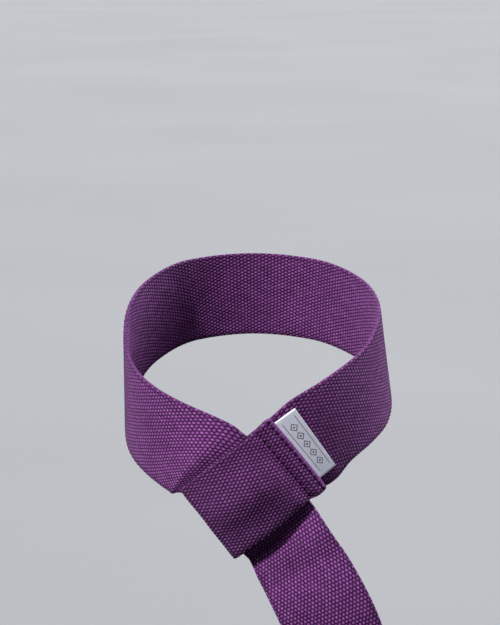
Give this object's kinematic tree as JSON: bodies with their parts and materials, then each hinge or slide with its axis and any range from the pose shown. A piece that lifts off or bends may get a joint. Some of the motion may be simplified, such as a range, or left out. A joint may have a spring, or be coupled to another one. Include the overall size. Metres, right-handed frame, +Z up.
{
  "type": "stretching strap",
  "caption": "Woven cotton stretching strap with a sewn loop at each end, one end noosed round an upright cylinder and the spare length folded into a tied hank",
  "frame": {"origin": "on the axis of the cylinder that the noose grips, where the middle line of the webbing would cross it if the noose lay level", "axes": "+Z up along that axis, -Y towards the front where the sewn loop and its mouth lie, +X to the right, where the standing part goes"},
  "size_m": [0.121, 0.1372, 0.39],
  "materials": {
    "webbing": "matte",
    "thread": "matte",
    "label_satin": "satin",
    "tie_elastic": "matte"
  },
  "bodies": {
    "noose": {"noose_band": "webbing", "sewn_loop": "webbing", "loop_seam_outer_thread": "thread", "loop_seam_inner_thread": "thread"},
    "label_flap": {"label": "label_satin"},
    "running": {"running_webbing": "webbing"},
    "tail": {"tail_webbing": "webbing", "strap_hank": "webbing", "far_loop": "webbing", "far_seam_outer_thread": "thread", "far_seam_inner_thread": "thread"},
    "tie": {"storage_tie": "tie_elastic"}
  },
  "joints": [
    {"name": "label_lift", "type": "hinge", "parent": "noose", "child": "label_flap", "pos_m": [0.01873, -0.05441, -0.022], "axis": [0.5873, 0.2022, -0.7837], "range_deg": [0, 80], "stiffness_Nm_per_rad": 0.0002},
    {"name": "strap_feed", "type": "slide", "parent": "noose", "child": "running", "axis": [0.6153, 0.0851, -0.7837], "range_m": [0, 0.01]},
    {"name": "tail_swing", "type": "hinge", "parent": "running", "child": "tail", "pos_m": [0.0109, -0.0591, -0.0609], "axis": [-0.7837, 0, -0.6211], "range_deg": [0, 60]},
    {"name": "tie_slip", "type": "slide", "parent": "tail", "child": "tie", "axis": [0, 0, -1], "range_m": [0, 0.066]}
  ]
}
